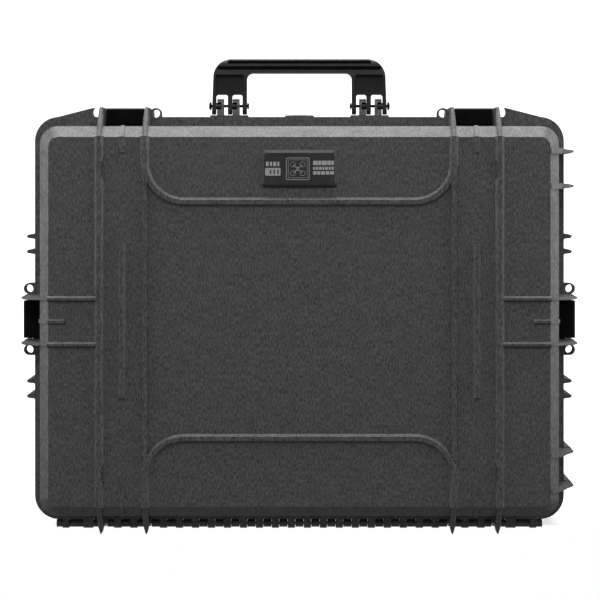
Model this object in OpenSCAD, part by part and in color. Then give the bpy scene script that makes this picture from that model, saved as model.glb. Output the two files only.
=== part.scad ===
// Hard plastic drone carrying case, standing on its hinge side with the handle up.
// The parts are drawn as the case is seen from the front: x to the right, y up, z out of the lid,
// with z = 0 at the parting plane. upright() then stands them in the part's own frame.

/* [Case] */
// Width over the closed rims
rim_w = 660; // [600:2:700]
// Height over the closed rims
rim_h = 499; // [460:1:540]
// Corner radius of the rims
rim_r = 30; // [24:1:36]
// How far the rims stand out from the walls
rim_out = 10; // [8:0.5:12]
// Thickness of each rim
rim_t = 8; // [7:0.5:10]
// Depth of the lid, to its flat face
lid_depth = 58; // [50:1:70]
// Depth of the base, to its flat back
base_depth = 211; // [180:1:240]
// Thickness of the walls
wall = 4.5; // [3.5:0.5:6]
// Width of the bevel round the lid's face and the base's back
bevel = 13; // [8:0.5:15]

/* [Ribs] */
// Height of the ribs on the flat faces
rib_h = 4; // [2:0.5:4]
// How far the guard ribs stand out past the rims, which is also the height of the feet
guard_out = 14; // [13.5:0.5:16]
// Thickness of a guard rib
guard_t = 6.5; // [6:0.5:8]

/* [Latches] */
// Distance of a front latch from the middle
latch_x = 217; // [200:1:230]
// Width of a latch
latch_w = 46; // [40:1:46]
// Distance from a latch's middle to its guard ribs' middles
guard_x = 28; // [28:0.5:30]
// Radius of every small steel pin
pin_r = 2; // [1.5:0.25:2.5]

/* [Handle] */
// Height of the handle above its pivot
handle_h = 59.5; // [55:0.5:70]
// Thickness of the grip from front to back
grip_t = 26; // [20:1:30]

/* [Foam] */
// Depth of the pockets for the drone and its kit
pocket_depth = 116; // [80:2:140]

/* [Hidden] */
$fn = 48;

shell_colour = "#3c3d3e";
trim_colour = "#161617";
steel_colour = "#b8babd";
foam_colour = "#2b2c2e";
rubber_colour = "#1e1f20";

part_gap = 0.2;      // each shell stops this far short of the parting plane
run_gap = 0.07;      // radial clearance of a pin that turns
deep = rib_h;        // ribs on the faces sink this far into them

mid_y = guard_out + rim_h / 2;                   // the case's middle above the floor
total_depth = lid_depth + base_depth + 2 * rib_h;
parting_y = -total_depth / 2 + lid_depth + rib_h; // where the parting plane stands in the part's frame

rim_x = rim_w / 2;
rim_y = rim_h / 2;
rim_rise = 2.7;                                   // the top rims stand this much higher between the latches
wall_x = rim_x - rim_out;
wall_y = rim_y - rim_out + 1;
face_x = wall_x - bevel;
face_y = wall_y - bevel - 1.5;
wall_r = rim_r - 8;
face_r = 12;
draft = 10;                                       // the base is this much smaller each side at its back
back_x = wall_x - draft;
back_y = wall_y - draft;

hinge_y = guard_out - 6.4;                        // the hinge's axis above the floor
knuckle_r = 5.9;
hinge_half = 303.5;

// A latch in its own station: x along the rim, y out from the rim's edge, z towards the lid's face.
lever_pivot = [-15, 4.5];                         // [z, y] of the lever's pivot on the base's guard ribs
link_pivot = [-32, 3.8];                          // [z, y] of the hook's pivot on the lever
eye_x = 38;
eye_r = 5;
eye_out = guard_out / 2;

handle_pivot = [-38, rim_y + 18];                 // [z, y above the middle]
handle_pin_r = 1.75;
finger_t = 5.6;
fingers = [69.4, 88, 108.4];
lugs = [80.3, 100];
lug_t = 8.6;
lug_web = 3.1;                                    // the closed part of a lug, which carries the pin
boss_r = 4.2;

insert_top = -4;
insert_bottom = insert_top - pocket_depth;
floor_z = -base_depth + wall;
foam_r = 19;
side_gap = wall_x - wall_y;  // how much closer the top wall is to the middle than a side wall

// Half the width of the foam at a depth, a little inside the tapered walls.
function inside(z) = wall_x - wall - 1 + draft * (z - 3) / (base_depth - 15);

// Each pocket: [left, bottom, right, top], from the case's middle.
pockets = [
    [-150, -142, -40, 142],
    [-265, 78, 75, 142],
    [-265, -142, 75, -78],
    [-265, 168, 75, 202],
    [105, 40, 275, 180],
    [105, -92, 153, 12],
    [166, -92, 214, 12],
    [227, -92, 275, 12],
    [105, -190, 275, -120]
];

// The latch stations: [name, x, y, turn]
stations = [
    ["front_left", -latch_x, rim_y, 0],
    ["front_right", latch_x, rim_y, 0],
    ["side_left", -rim_x, 0, 90],
    ["side_right", rim_x, 0, -90]
];

// ---------- helpers ----------

// Stands what is drawn from the front in the part's frame.
module upright() {
    translate([0, parting_y, 0]) rotate([90, 0, 0]) translate([0, mid_y, 0]) children();
}

// Draws in a latch station's own axes.
module at_station(s) {
    translate([s[1], s[2], 0]) rotate([0, 0, s[3]]) children();
}

// Extrudes an outline of [z, y] points along x.
module along_x(length) {
    rotate([0, -90, 0]) linear_extrude(length, center = true) children();
}

// Extrudes an outline of [x, z] points along y.
module along_y(length) {
    rotate([90, 0, 0]) linear_extrude(length, center = true) children();
}

module both_sides() {
    children();
    mirror([1, 0, 0]) children();
}

// A rectangle of half sizes hx, hy with round corners, made of exact arcs.
module round_rect(hx, hy, r) {
    square([2 * hx, 2 * (hy - r)], center = true);
    square([2 * (hx - r), 2 * hy], center = true);
    for (sx = [-1, 1], sy = [-1, 1]) translate([sx * (hx - r), sy * (hy - r)]) circle(r);
}

module plate(hx, hy, r, z, t) {
    translate([0, 0, z]) linear_extrude(t) round_rect(hx, hy, r);
}

// A closed tray shape: walls from z1 to z2, then a bevel to the flat face at z3.
module tray(x1, y1, x2, y2, x3, y3, r, r3, z1, z2, z3) {
    hull() {
        $fn = 32;
        plate(x1, y1, r, z1, 0.02);
        plate(x2, y2, r, z2, 0.02);
        plate(x3, y3, r3, z3 - (z3 > z1 ? 0.02 : 0), 0.02);
    }
}

module ring(r_out, r_in, z, t) {
    translate([0, 0, z]) linear_extrude(t) difference() {
        circle(r_out);
        circle(r_in);
    }
}

// ---------- ribs on the lid's face and the base's back, drawn on the plane z = 0 ----------

belt_in = latch_x - guard_x;
belt_out = latch_x + guard_x;
belt_w = 11.5;
arch_r = 48.5;       // radius of an arch rib's middle line
arch_w = 11;
arch_top = 146.5;    // height of the upper arch's straight run above the middle
arch_bottom = -142.5;

// A rib's section, [across, out]: slanted sides and a flat crest.
module rib_section(w, h, slant) {
    polygon([
        [-w / 2, -deep], [-w / 2, h - slant - 0.4], [slant - w / 2, h], [w / 2 - slant, h],
        [w / 2, h - slant - 0.4], [w / 2, -deep]
    ]);
}

// A straight rib along y, from y1 to y2.
module rib_up(x, y1, y2, w, h = rib_h, slant = 3) {
    translate([x, max(y1, y2), 0]) rotate([90, 0, 0]) linear_extrude(abs(y2 - y1)) rib_section(w, h, slant);
}

// A straight rib along x, from x1 to x2.
module rib_across(y, x1, x2, w, h = rib_h, slant = 3) {
    translate([0, y, 0]) rotate([0, 0, -90]) rib_up(0, x1, x2, w, h, slant);
}

// Half of an arch rib: a leg on the belt line, a bend and half of the straight run.
module arch_half(run_y, toward) {
    centre_y = run_y + toward * arch_r;
    rib_up(belt_in, centre_y, toward * (face_y + 1), arch_w);
    rib_across(run_y, 0, belt_in - arch_r, arch_w);
    translate([belt_in - arch_r, centre_y, 0]) rotate([0, 0, toward > 0 ? -90 : 0]) rotate_extrude(angle = 90)
        translate([arch_r, 0]) rib_section(arch_w, rib_h, 3);
}

module belt() {
    difference() {
        rib_up(belt_out, -face_y - 1, face_y + 1, belt_w);
        // shallow scallops on the belt's inner edge
        for (s = [-1, 1]) translate([belt_out - belt_w / 2 - 22.5, s * 186.5, 0.01]) cylinder(r = 26.5, h = rib_h + 1);
    }
}

module face_ribs() {
    both_sides() {
        belt();
        arch_half(arch_top, 1);
        arch_half(arch_bottom, -1);
        // slim bar between the belts
        rib_up(latch_x, -93, 95, 10.4, rib_h - 0.4, 3);
        // the bands beside the side latch
        for (s = [-1, 1]) rib_across(s * guard_x, belt_out, face_x + 1, 7, rib_h, 2.2);
    }
}

// ---------- lid ----------

// What a guard rib keeps, seen from the front: it narrows to a blunt top and to a sharper foot.
module guard_taper(top_half, foot_half) {
    top = rim_y + guard_out;
    half = guard_t / 2;
    translate([0, 0, -base_depth - 20]) linear_extrude(total_depth + 40) polygon([
        [-half, -rim_y - 3], [-half, rim_y - 2], [-top_half, top], [top_half, top],
        [half, rim_y - 2], [half, -rim_y - 3], [foot_half, -top], [-foot_half, -top]
    ]);
}

// Cuts both edges of a guard rib's slope, from the rib's tip at [z, y] down to the face.
module slope_cuts(tip, foot) {
    run = foot[0] - tip[0];
    fall = tip[1] - foot[1];
    cut = guard_t / 2 - 1.1;
    translate([0, tip[1], tip[0]]) rotate([atan2(fall, run), 0, 0]) translate([0, 0, -6]) both_sides()
        linear_extrude(norm([run, fall]) + 12) polygon([
            [1.1, 0], [guard_t / 2 + 0.1, -cut - 0.1], [guard_t, -cut - 0.1], [guard_t, cut], [1.1, cut]
        ]);
}

// A guard rib that crosses the lid from the front edge to the hinge edge.
module lid_guard(x) {
    top = rim_y + guard_out;
    foot = [lid_depth + rib_h - 0.6, face_y - 0.4];
    translate([x, 0, 0]) difference() {
        intersection() {
            along_x(guard_t) polygon([
                [part_gap, wall_y - 2], [part_gap, top], [34, top], foot, [foot[0], -foot[1]], [36, 2 - top], [34, -top],
                [14, -top], [12, 2 - top], [12, -wall_y + 2]
            ]);
            guard_taper(1.9, 0.7);
        }
        slope_cuts([34, top], foot);
        mirror([0, 1, 0]) slope_cuts([34, top], foot);
    }
}

// A guard rib beside a side latch.
module lid_side_guard(y) {
    out = rim_x + guard_out;
    half = guard_t / 2 - 0.4;
    translate([0, y, 0]) intersection() {
        along_y(guard_t) polygon([
            [wall_x - 2, part_gap], [out, part_gap], [out, 30], [face_x - 1, lid_depth + rib_h - 1], [face_x - 8, lid_depth - 1]
        ]);
        linear_extrude(lid_depth + 10) polygon([
            [face_x - 10, -half], [out - 6, -half], [out, -0.9], [out, 0.9], [out - 6, half], [face_x - 10, half]
        ]);
        // the blade's front edge is chamfered too
        rotate([0, 90, 0]) linear_extrude(out + 1) polygon([
            [1, -half], [-20, -half], [-lid_depth - 4, -1.4], [-lid_depth - 4, 1.4], [-20, half], [1, half]
        ]);
    }
}

// A low stub rib that runs over the bevel, which is run wide there.
module lid_stub(length, run) {
    translate([0, 0, lid_depth]) rib_up(0, -length, 0.6, 7, 2.5, 1.9);
    along_x(4.8) polygon([
        [lid_depth - 1, -1], [lid_depth + 2.2, -1], [lid_depth + 2.2, 0.5],
        [lid_depth - bevel + 2, run + 0.1], [lid_depth - bevel - 6, run + 0.1], [lid_depth - bevel - 6, -1]
    ]);
}

// A tapered fin on the right-hand side, half on the lid and half on the base.
module lid_fin(y) {
    out = rim_x + guard_out - 3;
    translate([0, y, 0]) intersection() {
        along_y(9) polygon([
            [face_x - 2, lid_depth - 2], [face_x + 1, lid_depth + 1.5], [wall_x + 3, lid_depth - bevel + 2],
            [out, 18], [out, part_gap], [wall_x - 2, part_gap]
        ]);
        linear_extrude(lid_depth + 10) polygon([
            [300, -2], [face_x + 5, -3.7], [wall_x + 3, -3.4], [rim_x, -2.2], [out - 1.6, -1.7], [out, -0.6],
            [out, 0.6], [out - 1.6, 1.7], [rim_x, 2.2], [wall_x + 3, 3.4], [face_x + 5, 3.7], [300, 2]
        ]);
    }
}

module base_fin(y, start, end) {
    out = rim_x + guard_out - 3;
    translate([0, y, 0]) intersection() {
        along_y(12) polygon([
            [wall_x - 12, start], [out, start], [out, end + 40], [out - 6, end + 24], [wall_x - 12, end]
        ]);
        translate([0, 0, -base_depth]) linear_extrude(base_depth) polygon([
            [300, -5.6], [wall_x + 2, -5.4], [rim_x + 3, -3], [out - 2, -2.3], [out, -1.1],
            [out, 1.1], [out - 2, 2.3], [rim_x + 3, 3], [wall_x + 2, 5.4], [300, 5.6]
        ]);
    }
}

fin_rows = [-205.5, -163.5, 166, 209];  // the tapered fins on the right-hand side
lug_rows = [-97, -78, 84, 103];         // the base's short fins on both sides

module lid_knuckles() {
    both_sides() for (k = [[10, 9], [30, 9], [50, 9], [70, 9], [90, 9], [110, 9], [130, 9], [150, 9], [170, 9],
                           [207, 9], [227, 9], [264, 12], [292, 8]])
        knuckle(k[0], k[1], 1);
}

module base_knuckles() {
    knuckle(0, 10, -1);
    both_sides() for (k = [[20, 10], [40, 10], [60, 10], [80, 10], [100, 10], [120, 10], [140, 10], [160, 10],
                           [179.8, 9.6], [197.5, 9], [217, 10], [236, 8], [253.5, 7.5], [279, 17], [300, 7]])
        knuckle(k[0], k[1], -1);
}

// One hinge knuckle, joined to the rim on the side that dir points to.
module knuckle(x, w, dir) {
    y = hinge_y - mid_y;
    translate([x, 0, 0]) along_x(w) {
        translate([0, y]) circle(dir > 0 ? knuckle_r : knuckle_r - 1.3);
        translate([dir > 0 ? part_gap : -part_gap - knuckle_r, y]) square([knuckle_r, guard_out - hinge_y + 1]);
    }
}

module hinge_bore() {
    translate([0, hinge_y - mid_y, 0]) rotate([0, 90, 0]) cylinder(r = pin_r + run_gap, h = 2 * rim_x, center = true);
}

gasket_x = rim_x - 7.5;
gasket_y = rim_y - 7.5;
gasket_r = rim_r - 7.5;

// A closed band round the rim, of the given width.
module seal_band(w, z, t) {
    translate([0, 0, z]) linear_extrude(t) difference() {
        round_rect(gasket_x + w / 2, gasket_y + w / 2, gasket_r + w / 2);
        round_rect(gasket_x - w / 2, gasket_y - w / 2, gasket_r - w / 2);
    }
}

// The sloping web from the rim's corner up to a front latch.
module corner_web(z, t) {
    translate([0, 0, z]) linear_extrude(t) difference() {
        polygon([
            [belt_out + 1, rim_y - 6], [belt_out + 1, rim_y + guard_out], [belt_out + 13.5, rim_y + guard_out],
            [rim_x - 21, rim_y + 1], [rim_x - 26, rim_y - 12]
        ]);
        translate([belt_out + 6, rim_y + 8.8]) circle(7.5);
    }
}

// The higher part of the top rim, which leaves the front latches free.
module rim_crest(z) {
    translate([0, 0, z]) linear_extrude(rim_t) intersection() {
        round_rect(rim_x, rim_y + rim_rise, rim_r);
        union() {
            translate([-171, rim_y - 8]) square([342, 20]);
            both_sides() translate([belt_out + 1, rim_y - 40]) square([90, 60]);
        }
    }
}

module lid_shell() {
    color(shell_colour) difference() {
        union() {
            tray(wall_x, wall_y, wall_x - 1, wall_y - 1, face_x, face_y, wall_r, face_r,
                 part_gap, lid_depth - bevel, lid_depth);
            plate(rim_x, rim_y, rim_r, part_gap, rim_t);
            rim_crest(part_gap);
            translate([0, 0, lid_depth]) face_ribs();
            for (s = [-1, 1], x = [belt_in, belt_out]) lid_guard(s * x);
            both_sides() for (s = [-1, 1]) lid_side_guard(s * guard_x);
            both_sides() {
                translate([latch_x, face_y, 0]) lid_stub(19, wall_y - face_y);
                translate([latch_x, -face_y, 0]) mirror([0, 1, 0]) lid_stub(21, wall_y - face_y);
                translate([face_x, 0, 0]) rotate([0, 0, -90]) lid_stub(21, bevel);
                corner_web(part_gap, rim_t - 3);
            }
            for (y = fin_rows) lid_fin(y);
            lid_knuckles();
        }
        tray(wall_x - wall, wall_y - wall, wall_x - wall - 1, wall_y - wall - 1, face_x - wall, face_y - wall,
             wall_r - wall, face_r, part_gap - 1, lid_depth - bevel - 2, lid_depth - wall);
        seal_band(6, part_gap - 1, 6.8);
        hinge_bore();
    }
}

module lid_gasket() {
    color(rubber_colour) seal_band(5.6, 2, 3.9);
}

// Padlock eyes: flat plates beside the latches, on both shells. Each one follows the side of its guard rib,
// whose half thickness goes from halves[0] at the rim to halves[1] at the tip.
module lock_eye(s, side, z, t, halves) {
    at_station(s) mirror([side > 0 ? 0 : 1, 0, 0]) difference() {
        union() {
            translate([eye_x, eye_out, z]) cylinder(r = eye_out - 0.05, h = t);
            translate([guard_x, 0.05, z]) cube([eye_x + eye_out - guard_x, eye_out, t]);
        }
        translate([eye_x, eye_out, z - 1]) cylinder(r = eye_r, h = t + 2);
        translate([guard_x, 0, z - 1]) linear_extrude(t + 2)
            polygon([[-9, -2], [halves[0] + 0.05, -2], [halves[1] + 0.05, guard_out], [-9, guard_out]]);
    }
}

module lock_eyes(z, t, front_halves, side_halves) {
    color(shell_colour) {
        lock_eye(stations[0], 1, z, t, front_halves);
        lock_eye(stations[1], -1, z, t, front_halves);
        for (s = [stations[2], stations[3]], side = [-1, 1]) lock_eye(s, side, z, t, side_halves);
    }
}

module lid_foam() {
    m = wall + 1;
    color(foam_colour) tray(wall_x - m - 1, wall_y - m - 1, wall_x - m - 1, wall_y - m - 1, face_x - m - 1, face_y - m - 1,
                            wall_r - m, face_r, 20, lid_depth - bevel - 3, lid_depth - wall - 0.1);
}

module badge_plate() {
    color(trim_colour) translate([0, 187, 0]) {
        plate(46.4, 23.2, 5, lid_depth + 0.05, 0.8);
        hull() {
            $fn = 32;
            plate(46.4, 23.2, 5, lid_depth + 0.8, 0.1);
            plate(42.9, 19.6, 3.2, lid_depth + 3.4, 0.1);
        }
    }
}

// ---------- base ----------

module base_guard(x) {
    top = rim_y + guard_out;
    difference() {
        translate([x, 0, 0]) intersection() {
            along_x(guard_t) polygon([
                [-part_gap, rim_y - 6], [-part_gap, top], [-66, top], [-84, wall_y + 1], [-180, back_y + 4],
                [-base_depth - rib_h, face_y - draft], [-base_depth - rib_h, draft - face_y], [-202, 6 - top],
                [-196, -top], [-22, -top], [-20, 2 - top], [-20, 6 - rim_y]
            ]);
            guard_taper(2.4, 1.6);
        }
        translate([0, rim_y + lever_pivot[1], lever_pivot[0]]) rotate([0, 90, 0])
            cylinder(r = pin_r + 0.02, h = rim_w, center = true);
    }
}

module base_side_guard(y) {
    out = rim_x + guard_out;
    start = rim_x - 2;
    difference() {
        translate([0, y, 0]) intersection() {
            along_y(guard_t) polygon([
                [rim_x - 6, -part_gap], [out, -part_gap], [out, -66], [wall_x + 1, -84], [back_x + 4, -180],
                [face_x - draft, -base_depth - rib_h], [belt_out, -base_depth - rib_h], [belt_out, -base_depth + 1],
                [wall_x - 20, -100]
            ]);
            translate([0, 0, -base_depth - 20]) linear_extrude(base_depth + 20) polygon([
                [0, -guard_t / 2], [start, -guard_t / 2], [out, -1.6], [out, 1.6], [start, guard_t / 2], [0, guard_t / 2]
            ]);
        }
        translate([rim_x + lever_pivot[1], 0, lever_pivot[0]]) rotate([90, 0, 0])
            cylinder(r = pin_r + 0.02, h = rim_h, center = true);
    }
}

// A lug for the handle: a closed web on the inside and a hook over the handle's boss, open at the front.
module handle_lug(x) {
    z = handle_pivot[0];
    y = handle_pivot[1];
    gap = boss_r + 0.4;
    difference() {
        union() {
            translate([x, 0, 0]) along_x(lug_t) translate(handle_pivot) circle(9);
            translate([x, 0, 0]) along_x(lug_t) polygon([
                [z - 9, y - 2], [z + 9, y - 2], [z + 13, wall_y - 3], [z - 13, wall_y - 3]
            ]);
        }
        translate([0, y, z]) rotate([0, 90, 0]) cylinder(r = handle_pin_r + 0.02, h = rim_w, center = true);
        translate([x - lug_t / 2 + lug_web, y, z]) {
            rotate([0, 90, 0]) cylinder(r = gap, h = lug_t);
            translate([0, -gap, 0]) cube([lug_t, 2 * gap, 20]);
        }
    }
}

module back_ribs() {
    intersection() {
        face_ribs();
        translate([0, 0, rib_h - 1]) cube([2 * (face_x - draft) + 2, 2 * (face_y - draft) + 2, 4 * rib_h], center = true);
    }
}

valve_z = -38;
valve_r = 18.5;
valve_top = rim_y + 6;
valve_in = wall_y - wall - 2.6;   // the inside face of the valve's seat

// Places what is drawn about the valve's axis, with z out of the base's top wall.
module at_valve() {
    translate([0, 0, valve_z]) rotate([-90, 0, 0]) children();
}

module base_outside() {
    tray(wall_x, wall_y, back_x, back_y, face_x - draft, face_y - draft, wall_r, face_r,
         -part_gap - 0.02, -base_depth + 16, -base_depth);
    plate(rim_x, rim_y, rim_r, -part_gap - rim_t, rim_t);
    rim_crest(-part_gap - rim_t);
    translate([0, 0, -base_depth]) mirror([0, 0, 1]) back_ribs();
    for (s = [-1, 1], x = [belt_in, belt_out]) base_guard(s * x);
    both_sides() {
        for (s = [-1, 1]) base_side_guard(s * guard_x);
        corner_web(-part_gap - rim_t, rim_t);
        for (y = lug_rows) base_fin(y, -part_gap, -104);
        for (x = lugs) handle_lug(x);
        // plinth under the handle's lugs
        translate([65, wall_y - 4, handle_pivot[0] - 13]) cube([48, rim_y + rim_rise + 3.4 - wall_y + 4, 26]);
    }
    for (y = fin_rows) base_fin(y, -part_gap, -140);
    base_knuckles();
    // boss for the pressure valve
    translate([0, wall_y - 3, valve_z]) rotate([-90, 0, 0]) cylinder(r = valve_r - 0.5, h = 7);
    // tongue that presses the gasket
    seal_band(3, -part_gap - 0.5, 2);
}

module base_shell() {
    color(shell_colour) difference() {
        union() {
            difference() {
                base_outside();
                tray(wall_x - wall, wall_y - wall, back_x - wall, back_y - wall, face_x - draft - wall,
                     face_y - draft - wall, wall_r - wall, face_r, 3, -base_depth + 18, floor_z);
            }
            // flat pad inside the wall for the valve's seal
            translate([0, valve_in, valve_z]) rotate([-90, 0, 0]) cylinder(r = 15, h = wall_y - valve_in - 1);
        }
        hinge_bore();
        translate([0, wall_y - 20, valve_z]) rotate([-90, 0, 0]) cylinder(r = 8.1, h = 60);
    }
}

module base_foam_floor() {
    m = wall + 1;
    color(foam_colour) hull() {
        $fn = 32;
        plate(inside(insert_bottom) - 0.5, inside(insert_bottom) - 0.5 - side_gap, foam_r, insert_bottom - 0.12, 0.02);
        plate(back_x - m - 1, back_y - m - 1, wall_r - m, -base_depth + 20, 0.02);
        plate(face_x - draft - m - 1, face_y - draft - m - 1, face_r, floor_z + 0.1, 0.02);
    }
}

module base_foam_insert() {
    color(foam_colour) difference() {
        hull() {
            $fn = 32;
            plate(inside(insert_bottom), inside(insert_bottom) - side_gap, foam_r, insert_bottom, 0.02);
            plate(inside(insert_top), inside(insert_top) - side_gap, foam_r, insert_top - 0.02, 0.02);
        }
        // room for the valve's nut
        translate([-17, valve_in - 11, valve_z - 17]) cube([34, 40, 60]);
        translate([0, 0, insert_bottom - 1]) linear_extrude(pocket_depth + 2)
            for (p = pockets) translate([(p[0] + p[2]) / 2, (p[1] + p[3]) / 2])
                round_rect((p[2] - p[0]) / 2, (p[3] - p[1]) / 2, 8);
    }
}

module hinge_pin() {
    color(steel_colour) translate([0, hinge_y - mid_y, 0]) rotate([0, 90, 0])
        cylinder(r = pin_r, h = 2 * hinge_half, center = true);
}

// The valve is drawn along its own axis, from the middle of the case outwards.
module valve_housing() {
    color(trim_colour) difference() {
        union() {
            translate([0, wall_y + 4.05, valve_z]) rotate([-90, 0, 0]) cylinder(r = valve_r, h = valve_top - wall_y - 4.05);
            translate([0, valve_in - 9, valve_z]) rotate([-90, 0, 0]) cylinder(r = 8, h = 21);
        }
        translate([0, wall_y + 9, valve_z]) rotate([-90, 0, 0]) cylinder(r = 14, h = 20);
        translate([0, wall_y - 20, valve_z]) rotate([-90, 0, 0]) cylinder(r = 4, h = 60);
    }
}

module valve_cap() {
    color(rubber_colour) translate([0, wall_y + 9.05, valve_z]) rotate([-90, 0, 0]) difference() {
        union() {
            cylinder(r = 13.8, h = 3);
            cylinder(r = 9, h = 5);
        }
        translate([-8, -1, 3.4]) cube([16, 2, 4]);
    }
}

module valve_seal() {
    color(rubber_colour) translate([0, valve_in - 2.1, valve_z]) rotate([-90, 0, 0]) difference() {
        cylinder(r = 12.5, h = 2);
        translate([0, 0, -1]) cylinder(r = 8.1, h = 4);
    }
}

module valve_nut() {
    color(trim_colour) translate([0, valve_in - 8.2, valve_z]) rotate([-90, 0, 0]) difference() {
        cylinder(r = 13, h = 6, $fn = 6);
        translate([0, 0, -1]) cylinder(r = 8.1, h = 8);
    }
}

// ---------- handle ----------

leg_in = fingers[0] - finger_t / 2;
leg_out = fingers[2] + finger_t / 2;
grip_h = 17.8;
window_top = 14.4;

// The handle's outline from the front, right half.
module handle_half_2d() {
    y = handle_pivot[1];
    top = y + handle_h;
    corner = 24;
    draw_in = 2.2; // the legs lean in this much
    difference() {
        union() {
            translate([0, top - grip_h]) square([leg_out - corner, grip_h]);
            polygon([
                [leg_in, y - 11], [leg_out, y - 11], [leg_out - draw_in, top - corner], [leg_out - draw_in - corner, top - 1],
                [leg_in, top - 1]
            ]);
            intersection() {
                translate([leg_out - corner - draw_in, top - corner]) circle(corner);
                translate([leg_out - corner - draw_in, top - corner]) square(corner);
            }
            // fillet under the grip
            translate([leg_in - 8, top - grip_h - 8]) difference() {
                square([8.1, 8.1]);
                circle(8);
            }
        }
        // windows between the fingers
        for (i = [0, 1]) {
            x0 = fingers[i] + finger_t / 2;
            x1 = fingers[i + 1] - finger_t / 2;
            translate([x0, y - 20]) square([x1 - x0, 20 + window_top - 3]);
            translate([(x0 + x1) / 2, y + window_top - 4]) round_rect((x1 - x0) / 2, 4, 3);
        }
    }
}

// The handle from the side: slim at the fingers, wide at the grip, with its top edges rounded.
module handle_side() {
    r = 6;
    half = grip_t / 2;
    top = [for (a = [0 : 15 : 90]) [half - r + r * cos(a), handle_h - r + r * sin(a)]];
    front = concat([[2.4, -10.8], [5, -6], [6, 12], [half, 38]], top);
    back = [for (i = [len(front) - 1 : -1 : 0]) [-front[i][0], front[i][1]]];
    translate([0, handle_pivot[1], handle_pivot[0]]) along_x(2 * leg_out + 10) polygon(concat(front, back));
}

grip_grooves = [[91, handle_h - 4, 4.8], [103.5, handle_h - 11.8, 4.6]]; // [half length, height, width]

module grip_grooves_2d() {
    for (g = grip_grooves) translate([0, handle_pivot[1] + g[1]]) round_rect(g[0], g[2] / 2, g[2] / 2 - 0.1);
}

module handle_frame() {
    z = handle_pivot[0];
    y = handle_pivot[1];
    color(trim_colour) difference() {
        union() {
            intersection() {
                translate([0, 0, z - grip_t / 2]) linear_extrude(grip_t) both_sides() handle_half_2d();
                handle_side();
            }
            // the bosses that sit in the lugs' hooks
            both_sides() for (i = [0, 1]) {
                start = lugs[i] - lug_t / 2 + lug_web + 0.4;
                translate([start, y, z]) rotate([0, 90, 0]) cylinder(r = boss_r, h = fingers[i + 1] + 1 - start);
            }
        }
        for (s = [-1, 1]) {
            translate([0, 0, z + s * grip_t / 2 - 3]) linear_extrude(6) grip_grooves_2d();
            // recessed panels in the legs
            both_sides() translate([(leg_in + leg_out) / 2 - 0.8, y + 28, z + s * (grip_t / 2 - 1)])
                linear_extrude(9, center = true) square([35, 23], center = true);
        }
        translate([0, y, z]) rotate([0, 90, 0])
            cylinder(r = handle_pin_r + run_gap, h = 2 * leg_out + 20, center = true);
    }
}

module handle_grip_strips() {
    z = handle_pivot[0];
    color(rubber_colour) for (start = [z - grip_t / 2 + 1, z + grip_t / 2 - 2.95], g = grip_grooves)
        translate([0, handle_pivot[1] + g[1], start]) linear_extrude(1.95)
            round_rect(g[0] - 0.2, g[2] / 2 - 0.2, g[2] / 2 - 0.4);
}

module handle_pins() {
    in = leg_in - 0.5;
    out = leg_out + 0.5;
    color(steel_colour) both_sides() translate([0, handle_pivot[1], handle_pivot[0]]) rotate([0, 90, 0]) {
        translate([0, 0, in - 1]) cylinder(r = handle_pin_r, h = out - in + 2);
        translate([0, 0, out]) {
            cylinder(r = 5.2, h = 1.4);
            translate([0, 0, 1.39]) cylinder(r1 = 5.2, r2 = 3.4, h = 1.6);
        }
        translate([0, 0, in - 2.2]) cylinder(r1 = 3, r2 = 4.4, h = 2.2);
    }
}

// ---------- latches ----------

cheek_in = 12;
arm_half = 10.5;
half_w = latch_w / 2;

module lever_body() {
    along_x(latch_w) translate(lever_pivot) circle(4.3);
    along_x(latch_w) polygon([
        [-17, 0.6], [-37, 0.6], [-44, 8.6], [-66, 9.6], [-69, 12.4], [-67, 14], [-60, 13.4], [-20, 13.4], [-16.2, 8.6]
    ]);
}

module lever(s) {
    color(trim_colour) at_station(s) difference() {
        union() lever_body();
        // slot for the hook's arm, open at the pivot end
        translate([-cheek_in, -10, -42]) cube([2 * cheek_in, 40, 60]);
        // finger grooves across the tab
        for (z = [-64, -60.5, -57]) translate([0, 14.2, z]) rotate([0, 90, 0]) cylinder(r = 1.2, h = 34, center = true);
        for (p = [lever_pivot, link_pivot]) translate([0, p[1], p[0]]) rotate([0, 90, 0])
            cylinder(r = pin_r + (p == lever_pivot ? run_gap : 0.02), h = latch_w - 4, center = true);
        // the pivot stubs enter from outside
        translate([0, lever_pivot[1], lever_pivot[0]]) rotate([0, 90, 0])
            cylinder(r = pin_r + run_gap, h = latch_w + 4, center = true);
    }
}

module hook(s) {
    color(trim_colour) at_station(s) difference() {
        union() {
            along_x(latch_w) polygon([
                [-7, 0.8], [-7, 11.4], [-5, 13.4], [13, 13.4], [15, 11.4], [15, -6.5], [13.5, -8], [8.8, -8], [8.8, 0.8]
            ]);
            along_x(2 * arm_half) {
                translate(link_pivot) circle(4);
                polygon([[-32, -0.2], [-32, 4.6], [-24, 6.4], [-6, 6.4], [-6, 0.8]]);
            }
        }
        translate([0, link_pivot[1], link_pivot[0]]) rotate([0, 90, 0])
            cylinder(r = pin_r + run_gap, h = latch_w, center = true);
    }
}

// Two short steel stubs that hold the lever in the base's guard ribs.
module lever_pins(s) {
    inner = cheek_in + 0.8;
    outer = guard_x + 2.2;
    color(steel_colour) at_station(s) both_sides()
        translate([inner, lever_pivot[1], lever_pivot[0]]) rotate([0, 90, 0]) cylinder(r = pin_r, h = outer - inner);
}

module link_pin(s) {
    color(steel_colour) at_station(s) translate([0, link_pivot[1], link_pivot[0]]) rotate([0, 90, 0])
        cylinder(r = pin_r, h = latch_w - 4.4, center = true);
}

// ---------- the nodes ----------

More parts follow.
